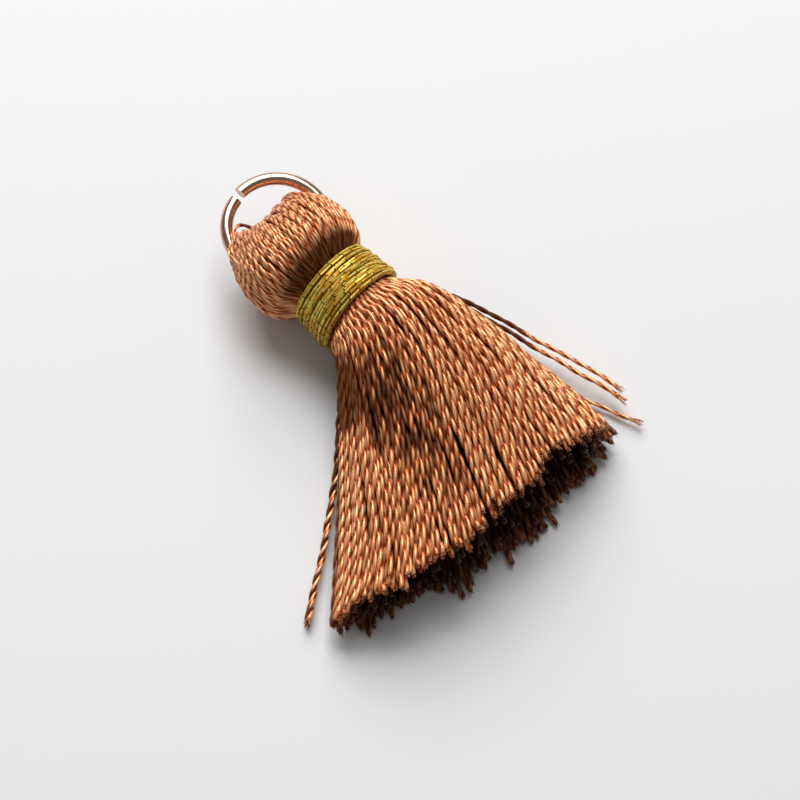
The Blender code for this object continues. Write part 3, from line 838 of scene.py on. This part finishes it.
SOFT_WIDTH = 13


def soft_route(points):
    """A smooth line near a few places of the head frame, given in millimetres."""
    stations = np.linspace(0.0, 1.0, len(points))
    even = np.linspace(0.0, 1.0, LOOP_POINTS)
    line = np.stack([np.interp(even, stations, [p[axis] for p in points]) for axis in range(3)])
    weights = np.hanning(SOFT_WIDTH)
    weights /= weights.sum()
    padded = np.pad(line, ((0, 0), (SOFT_WIDTH // 2,) * 2), mode="edge")
    across, along, up = (np.convolve(row, weights, mode="valid") * MM for row in padded)
    return head_place(across, along, NECK_HEIGHT + up)


LOOP_THREAD = read_master(
    model_thread("loop_thread", FINE_SIDES, LOOP_STEPS, LOOP_LENGTH), LOOP_LENGTH)
for points in LOOSE_LOOPS:
    head_copies.append(lay(
        LOOP_THREAD, soft_route(points), UP_AXIS, LOOSE_LOOP_SIZE * np.ones(LOOP_POINTS),
        roll=chance.uniform(0, ANY_ROLL), tone=LOOSE_LOOP_TONE,
        shift=chance.uniform(0, GRAIN_SHIFT)))
head = join_laid("silk_head", head_copies)

# %% [markdown]
# ## The gold binding
# The binding is a foil thread wound tightly round the neck, a core wrapped in narrow metal
# strip. The strip's flat facets catch the light one by one, which makes the short bright
# dashes. So the master is a faceted thread with flat faces, wound in many turns that lean
# and cross a little.

# %% Model and wind the foil thread
FOIL_SIDES = 6
FOIL_RADIUS = 0.165 * MM
FOIL_FLATNESS = 0.66
FOIL_GROOVE = 0.6
FOIL_DASH = 0.8 * MM
FOIL_DASH_RANGE = (0.7, 1.3)
FOIL_DASHES = 23
FOIL_TILT = 26.0
FOIL_SLANT = radians(35.0)
FOIL_GAP = 0.035 * MM
BINDING_HALF_LENGTH = 1.84 * MM
BINDING_RADIUS_HEAD = 3.2 * MM
BINDING_RADIUS_SKIRT = 3.5 * MM


def model_foil():
    """A straight foil thread along +Y: flat-faced dashes with a fine groove after each.
    Gives the thread and its length."""
    foil = add_circle(FOIL_SIDES, FOIL_RADIUS, "NGON")
    bpy.ops.object.mode_set(mode="EDIT")
    bpy.ops.transform.rotate(value=pi / FOIL_SIDES, orient_axis="Y", center_override=(0, 0, 0))
    bpy.ops.transform.resize(value=(1, 1, FOIL_FLATNESS), center_override=(0, 0, 0))
    bpy.ops.transform.rotate(value=FOIL_SLANT, orient_axis="Z", center_override=(0, 0, 0))
    reached = 0.0
    for dash in range(FOIL_DASHES):
        own_dash = FOIL_DASH * chance.uniform(*FOIL_DASH_RANGE)
        for length, size in ((own_dash, 1.0), (FOIL_GAP, FOIL_GROOVE), (FOIL_GAP, 1.0),
                             (FOIL_GAP, 1.0 / FOIL_GROOVE)):
            reached += length
            push_end(length, size, reached)
        tilt = radians(chance.uniform(-FOIL_TILT, FOIL_TILT))
        bpy.ops.transform.rotate(value=tilt, orient_axis="Y", center_override=(0, reached, 0))
    face_outwards()
    return foil, reached


FOIL_MASTER = read_master(*model_foil(), FOIL_RADIUS)
WIND_POINTS = 120


def wind_route(along_from, along_to, radius_from, radius_to, start, lean, lean_phase):
    """One turn of the binding round the neck."""
    share = np.linspace(0.0, 1.0, WIND_POINTS)
    angle = start + 2 * pi * share
    radius = radius_from + (radius_to - radius_from) * share
    along = along_from + (along_to - along_from) * share + lean * np.sin(angle + lean_phase)
    return head_place(radius * np.cos(angle), along, NECK_HEIGHT + radius * np.sin(angle))


def binding_radius(along):
    """Radius of the wound surface, larger towards the loose threads."""
    share = 0.5 - 0.5 * along / BINDING_HALF_LENGTH
    return BINDING_RADIUS_HEAD + (BINDING_RADIUS_SKIRT - BINDING_RADIUS_HEAD) * share


WIND_LAYERS = (
    {"turns": 13, "sunk": 0.17 * MM, "lean": 0.03 * MM},
    {"turns": 14, "sunk": 0.0 * MM, "lean": 0.1 * MM},
    {"turns": 6, "sunk": -0.07 * MM, "lean": 0.42 * MM},
)
LEAN_RANGE = (0.3, 1.0)
SUNK_JITTER = 0.03
TURN_START = -0.5 * pi
TURN_START_JITTER = 0.2
FOIL_ROLL = 0.5
foil_copies = []
for layer in WIND_LAYERS:
    room = BINDING_HALF_LENGTH - FOIL_RADIUS - layer["lean"]
    for turn in range(layer["turns"]):
        along_from = room * (1.0 - 2.0 * turn / layer["turns"])
        along_to = room * (1.0 - 2.0 * (turn + 1.0) / layer["turns"])
        lean = layer["lean"] * chance.uniform(*LEAN_RANGE)
        sunk = layer["sunk"] + chance.uniform(-SUNK_JITTER, SUNK_JITTER) * MM
        start = TURN_START + chance.uniform(-TURN_START_JITTER, TURN_START_JITTER)
        route = wind_route(
            along_from, along_to, binding_radius(along_from) - sunk,
            binding_radius(along_to) - sunk, start, lean, chance.uniform(0, ANY_ROLL))
        foil_copies.append(lay(
            FOIL_MASTER, route, ALONG_AXIS, roll=chance.uniform(-FOIL_ROLL, FOIL_ROLL),
            tone=chance.uniform(), shift=chance.uniform(0, GRAIN_SHIFT)))
binding = join_laid("gold_winding", foil_copies)
binding.data.shade_flat()

# %% [markdown]
# ## The jump ring
# The ring is round wire bent to a circle and left open. One end rides a little higher than
# the other, so it is one turn of a flat helix: a circle for the wire's section, turned by a
# Screw modifier that also lifts it, with its cut ends closed flat.

# %% Model the ring
RING_ACROSS = 0.33 * MM
RING_ALONG = 6.95 * MM
RING_HEIGHT = 4.45 * MM
RING_RADIUS = 3.55 * MM
RING_WIRE_RADIUS = 0.45 * MM
RING_TILT = radians(5.0)
RING_CUT_ANGLE = radians(97.0)
RING_CUT_WIDTH = 0.42 * MM
RING_END_RISE = 0.24 * MM
RING_SIDES = 28
RING_STEPS = 120
RING_SMOOTH_ANGLE = radians(40.0)

half_cut = 0.5 * RING_CUT_WIDTH / RING_RADIUS
ring = add_circle(RING_SIDES, RING_WIRE_RADIUS, place=(RING_RADIUS, 0, -RING_END_RISE))
ring.name = "rose_ring"
screw = ring.modifiers.new("bend", "SCREW")
screw.axis = "Z"
screw.angle = 2 * pi - 2 * half_cut
screw.screw_offset = 2 * RING_END_RISE
screw.steps = screw.render_steps = RING_STEPS
bpy.ops.object.modifier_apply(modifier=screw.name)
bpy.ops.object.mode_set(mode="EDIT")
bpy.ops.mesh.select_all(action="DESELECT")
bpy.ops.mesh.select_non_manifold()
bpy.ops.mesh.edge_face_add()
face_outwards()
ring_place = (
    Matrix.Translation(Vector(head_place(RING_ACROSS, RING_ALONG, RING_HEIGHT)))
    @ Matrix.Rotation(HEAD_LEAN, 4, "Z")
    @ Matrix.Rotation(RING_TILT, 4, "X")
    @ Matrix.Rotation(RING_CUT_ANGLE + half_cut, 4, "Z")
)
ring.data.transform(ring_place)
bpy.ops.object.shade_smooth_by_angle(angle=RING_SMOOTH_ANGLE)
print("ring box mm:", [[round(c / MM, 2) for c in corner] for corner in (
    np.min([v.co for v in ring.data.vertices], 0), np.max([v.co for v in ring.data.vertices], 0))])

# %% [markdown]
# ## Finishes
# Silk shines because its fibres lie side by side along each ply. One picture laid over all
# could not follow hundreds of twisted threads, so each finish reads the marks that every
# copy carries. The helpers here join small nodes, and one shared effect gives fine streaks
# along the fibres.

# %% Helpers for the finishes
STREAK_DETAIL = 3.0


def feed(tree, socket, value):
    """Give an input its value: a number, a colour, or another node's output."""
    if isinstance(value, (int, float)):
        socket.default_value = value
    elif isinstance(value, tuple):
        socket.default_value = (*value, 1.0)
    else:
        tree.links.new(value, socket)


def set_inputs(tree, node, values):
    """Give several inputs of a node their values."""
    for label, value in values.items():
        feed(tree, node.inputs[label], value)


def read_mark(tree, name, kind="Fac"):
    """One of the piece's own marks."""
    node = tree.nodes.new("ShaderNodeAttribute")
    node.attribute_name = name
    return node.outputs[kind]


def math_node(tree, operation, *values):
    """The result of a Math node; each value may be an output or a number."""
    node = tree.nodes.new("ShaderNodeMath")
    node.operation = operation
    for socket, value in zip(node.inputs, values):
        feed(tree, socket, value)
    return node.outputs[0]


def above(tree, high, low, gain):
    """How far one value is above another, times a gain."""
    return math_node(tree, "MULTIPLY", math_node(tree, "SUBTRACT", high, low), gain)


def mix_colours(tree, share, first, second):
    """A mix of two colours; each input may be an output or a value."""
    node = tree.nodes.new("ShaderNodeMix")
    node.data_type = "RGBA"
    for socket, value in ((0, share), (6, first), (7, second)):
        feed(tree, node.inputs[socket], value)
    return node.outputs[2]


def make_streaks():
    """Shared effect: fine fibre streaks along a thread, as a value from 0 to 1."""
    group = bpy.data.node_groups.new("fibre streaks", "ShaderNodeTree")
    for label, side in (("Across", "INPUT"), ("Along", "INPUT"), ("Streak", "OUTPUT")):
        group.interface.new_socket(name=label, in_out=side, socket_type="NodeSocketFloat")
    start, end = group.nodes.new("NodeGroupInput"), group.nodes.new("NodeGroupOutput")
    parts = group.nodes.new("ShaderNodeSeparateXYZ")
    feed(group, parts.inputs[0], read_mark(group, "grain", "Vector"))
    joined = group.nodes.new("ShaderNodeCombineXYZ")
    for axis, scale in ((0, "Across"), (1, "Across"), (2, "Along")):
        feed(group, joined.inputs[axis], math_node(
            group, "MULTIPLY", parts.outputs[axis], start.outputs[scale]))
    noise = group.nodes.new("ShaderNodeTexNoise")
    set_inputs(group, noise, {
        "Scale": 1.0, "Detail": STREAK_DETAIL, "Vector": joined.outputs[0]})
    feed(group, end.inputs["Streak"], noise.outputs["Fac"])
    return group


STREAKS = make_streaks()


def add_streaks(tree, scales):
    """The shared streaks in a finish, scaled across and along the thread."""
    node = tree.nodes.new("ShaderNodeGroup")
    node.node_tree = STREAKS
    set_inputs(tree, node, dict(zip(("Across", "Along"), scales)))
    return node.outputs[0]


def principled(name):
    """A new material, its nodes and its Principled shader."""
    material = bpy.data.materials.new(name)
    material.use_nodes = True
    return material, material.node_tree, material.node_tree.nodes["Principled BSDF"]


# %% [markdown]
# The dye is one copper colour, a little different from thread to thread. The crests of the plies get
# a painted highlight and the valleys between them painted shade. Where a thread runs steeply down,
# more so on the left, away from the lamp, it gets painted shade and is less smooth, and the inner
# layers get painted shade too.

# %% The silk's finish
SILK_STREAKS = (3.0, 1.6)
SIDE_DYES = ((0.54, 0.115, 0.02), (0.84, 0.235, 0.054))
# Pale crest colours: a painted highlight on the tops of the plies.
CREST_HIGHLIGHT_COLOURS = ((0.82, 0.25, 0.065), (1.0, 0.60, 0.31))
# Painted shade in the valleys between the plies.
VALLEY_SHADE_COLOUR = (0.30, 0.036, 0.006)
# Painted shade for threads that run steeply down.
DULL_SHADE_COLOUR = (0.10, 0.02, 0.006)
# Painted shade for the deep layers and the underside.
DEEP_SHADE_COLOUR = (0.035, 0.005, 0.002)
SILK_TINT = (1.0, 0.68, 0.44)
TONE_WEIGHT = 0.45
BRIGHT_SHIFT = 0.06
CREST_FROM, CREST_GAIN = 0.78, 5.0
VALLEY_FROM, VALLEY_GAIN = 0.89, 5.5
STEEP_FROM, STEEP_GAIN = 0.09, 5.5
DULL_SHADE_MOST = 0.82
SILK_ROUGH, STREAK_ROUGH, DULL_ROUGH = 0.2, 0.3, 0.4
STREAK_BUMP, STREAK_HEIGHT = 0.5, 0.03 * MM
SILK_LUSTRE, DULL_LUSTRE = 0.5, 0.5


def make_silk_finish(name, gloss):
    """Silk in a copper dye, with painted highlight on the ply crests and painted shade in the
    valleys, on steep threads and on the deep layers. The shaded copy for the deep and underside
    pieces gets less gloss, which paints shade too.
    """
    material, tree, shader = principled(name)
    streak = add_streaks(tree, SILK_STREAKS)
    tone, reach, depth, steep_dull_shade = (
        read_mark(tree, mark) for mark in ("tone", "reach", "depth", "steep_dull_shade"))
    bright = math_node(tree, "MULTIPLY_ADD", tone, TONE_WEIGHT, streak)
    bright = math_node(tree, "SUBTRACT", bright, BRIGHT_SHIFT)
    side_dye = mix_colours(tree, tone, *SIDE_DYES)
    # The crests of the plies get a painted highlight.
    crest_highlight = mix_colours(tree, bright, *CREST_HIGHLIGHT_COLOURS)
    dye_and_highlight = mix_colours(tree, above(tree, reach, CREST_FROM, CREST_GAIN), side_dye, crest_highlight)
    # The valleys between the plies get painted shade.
    valley = above(tree, VALLEY_FROM, reach, VALLEY_GAIN)
    coloured = mix_colours(tree, valley, dye_and_highlight, VALLEY_SHADE_COLOUR)
    # Painted shade where threads run steeply down; the same mask makes them rougher and adds metal,
    # which with the dark colour darkens them further.
    dull_shade = math_node(tree, "MINIMUM", above(tree, steep_dull_shade, STEEP_FROM, STEEP_GAIN), DULL_SHADE_MOST)
    dull_shaded = mix_colours(tree, dull_shade, coloured, DULL_SHADE_COLOUR)
    rough = math_node(tree, "MULTIPLY_ADD", streak, STREAK_ROUGH, SILK_ROUGH)
    bump = tree.nodes.new("ShaderNodeBump")
    set_inputs(tree, bump, {
        "Strength": STREAK_BUMP, "Distance": STREAK_HEIGHT, "Height": streak})
    set_inputs(tree, shader, {
        # The depth mark mixes in painted shade.
        "Base Color": mix_colours(tree, depth, dull_shaded, DEEP_SHADE_COLOUR),
        "Roughness": math_node(tree, "MULTIPLY_ADD", dull_shade, DULL_ROUGH, rough),
        "Normal": bump.outputs[0],
        "Metallic": math_node(tree, "MULTIPLY_ADD", dull_shade, DULL_LUSTRE, SILK_LUSTRE * gloss),
        "Specular IOR Level": gloss,
        "Specular Tint": SILK_TINT,
    })
    return material


# %% [markdown]
# Each facet of foil catches the light in its own way; broad streaks paint that as glints, so some
# dashes are painted paler and brighter, and the grooves between them are dark. Pure metal would
# mirror the dim side of the room and look olive, so the foil is only partly metal.

# %% The gold foil's finish
FOIL_STREAKS = (0.6, 2.8)
# From deep gold to pale; the paler dashes are painted glints.
FOIL_GLINT_COLOURS = ((0.86, 0.38, 0.012), (1.0, 0.86, 0.19))
GROOVE_COLOUR = (0.16, 0.07, 0.006)
FOIL_TINT = (1.0, 0.80, 0.30)
SHINE_FROM, SHINE_GAIN = 0.36, 4.0
GROOVE_FROM, GROOVE_GAIN = 0.78, 9.0
FOIL_ROUGH, FOIL_STREAK_ROUGH = 0.28, 0.25
FOIL_METAL = 0.42
FOIL_SPECULAR = 0.9


def make_foil_finish():
    """Gold foil strip, each dash a little different in polish, with painted glints that make some
    dashes paler.
    """
    material, tree, shader = principled("gold_foil")
    streak = add_streaks(tree, FOIL_STREAKS)
    # Streaks mix in the painted glints.
    foil = mix_colours(tree, above(tree, streak, SHINE_FROM, SHINE_GAIN), *FOIL_GLINT_COLOURS)
    groove = above(tree, GROOVE_FROM, read_mark(tree, "reach"), GROOVE_GAIN)
    set_inputs(tree, shader, {
        "Base Color": mix_colours(tree, groove, foil, GROOVE_COLOUR),
        "Roughness": math_node(tree, "MULTIPLY_ADD", streak, FOIL_STREAK_ROUGH, FOIL_ROUGH),
        "Metallic": FOIL_METAL,
        "Specular IOR Level": FOIL_SPECULAR,
        "Specular Tint": FOIL_TINT,
    })
    return material


# %% [markdown]
# The ring is polished plate. A fine noise mottles its colour and its polish a little.

# %% The ring's finish
PLATE_NOISE, PLATE_DETAIL = 900.0, 4.0
PLATE_COLOURS = ((0.52, 0.30, 0.22), (0.74, 0.49, 0.39))
PLATE_ROUGH, MOTTLE_ROUGH = 0.08, 0.16


def make_ring_finish():
    """Polished rose-gold plate, faintly mottled."""
    material, tree, shader = principled("rose_gold_plate")
    spot = tree.nodes.new("ShaderNodeTexCoord")
    noise = tree.nodes.new("ShaderNodeTexNoise")
    set_inputs(tree, noise, {
        "Scale": PLATE_NOISE, "Detail": PLATE_DETAIL, "Vector": spot.outputs["Object"]})
    mottle = noise.outputs["Fac"]
    set_inputs(tree, shader, {
        "Base Color": mix_colours(tree, mottle, *PLATE_COLOURS),
        "Roughness": math_node(tree, "MULTIPLY_ADD", mottle, MOTTLE_ROUGH, PLATE_ROUGH),
        "Metallic": 1.0,
    })
    return material


# %% Give the pieces their finishes
silk_finish = make_silk_finish("copper_silk", gloss=1.0)
# The copy with less gloss paints shade on the deep and underside pieces.
shaded_silk_finish = make_silk_finish("copper_silk_shaded", gloss=0.25)
OUTER_SILK = (skirt_top, cut_brushes, strays, head)
# Pieces deep inside and underneath, which get painted shade.
SHADED_SILK = (skirt_under, skirt_inner, skirt_core)
for piece in OUTER_SILK:
    piece.data.materials.append(silk_finish)
for piece in SHADED_SILK:
    piece.data.materials.append(shaded_silk_finish)
binding.data.materials.append(make_foil_finish())
ring.data.materials.append(make_ring_finish())
print("finishes:", sorted(material.name for material in bpy.data.materials))

# %% [markdown]
# ## Table and light
# The tassel lies on white board under one large soft light from behind, which leaves the cut
# end and the table in front of it in shadow. A small one nearly overhead gives the foil and
# the ring their glints, and the rest comes from a pale room. A light's place is given to the
# right, up the picture and above the table, in metres.

# %% Table, lights and room
FLOOR_SIZE = 4.0
BOARD_COLOUR = (0.86, 0.86, 0.865)
BOARD_ROUGHNESS = 0.6
ROOM_COLOUR = (1.0, 1.0, 1.0)
ROOM_STRENGTH = 0.2
IMAGE_RIGHT = Vector((cos(AZIMUTH), sin(AZIMUTH), 0.0))
IMAGE_UP = Vector((-sin(AZIMUTH), cos(AZIMUTH), 0.0))
LIGHTS = (
    {"name": "back_softbox", "place": (-0.07, 0.40, 0.39), "size": 0.42, "power": 2.95},
    {"name": "top_glint", "place": (0.04, 0.19, 0.42), "size": 0.2, "power": 0.5},
)

bpy.ops.mesh.primitive_plane_add(size=FLOOR_SIZE)
floor = bpy.context.object
floor.name = "table_top"
board, board_tree, board_shader = principled("white_board")
set_inputs(board_tree, board_shader, {"Base Color": BOARD_COLOUR, "Roughness": BOARD_ROUGHNESS})
floor.data.materials.append(board)
for light in LIGHTS:
    lamp = bpy.data.objects.new(light["name"], bpy.data.lights.new(light["name"], "AREA"))
    lamp.data.size = light["size"]
    lamp.data.energy = light["power"]
    right, up, height = light["place"]
    place = LOOK_AT + IMAGE_RIGHT * right + IMAGE_UP * up + Vector((0, 0, height))
    lamp.location = place
    lamp.rotation_mode = "QUATERNION"
    lamp.rotation_quaternion = (LOOK_AT - place).to_track_quat("-Z", "Y")
    bpy.context.scene.collection.objects.link(lamp)
room = bpy.data.worlds.new("pale_room")
room.use_nodes = True
set_inputs(room.node_tree, room.node_tree.nodes["Background"], {
    "Color": ROOM_COLOUR, "Strength": ROOM_STRENGTH})
bpy.context.scene.view_settings.view_transform = "Standard"
bpy.context.scene.world = room

# %% [markdown]
# ## Hand over
# Every piece rides on the one body, takes the place of its solid and names its material. The
# table belongs to the picture only.

for piece in OUTER_SILK + SHADED_SILK:
    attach(piece, "root")
    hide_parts("silk_tassel")
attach(binding, "root")
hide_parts("gold_binding")
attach(ring, "root")
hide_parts("jump_ring")
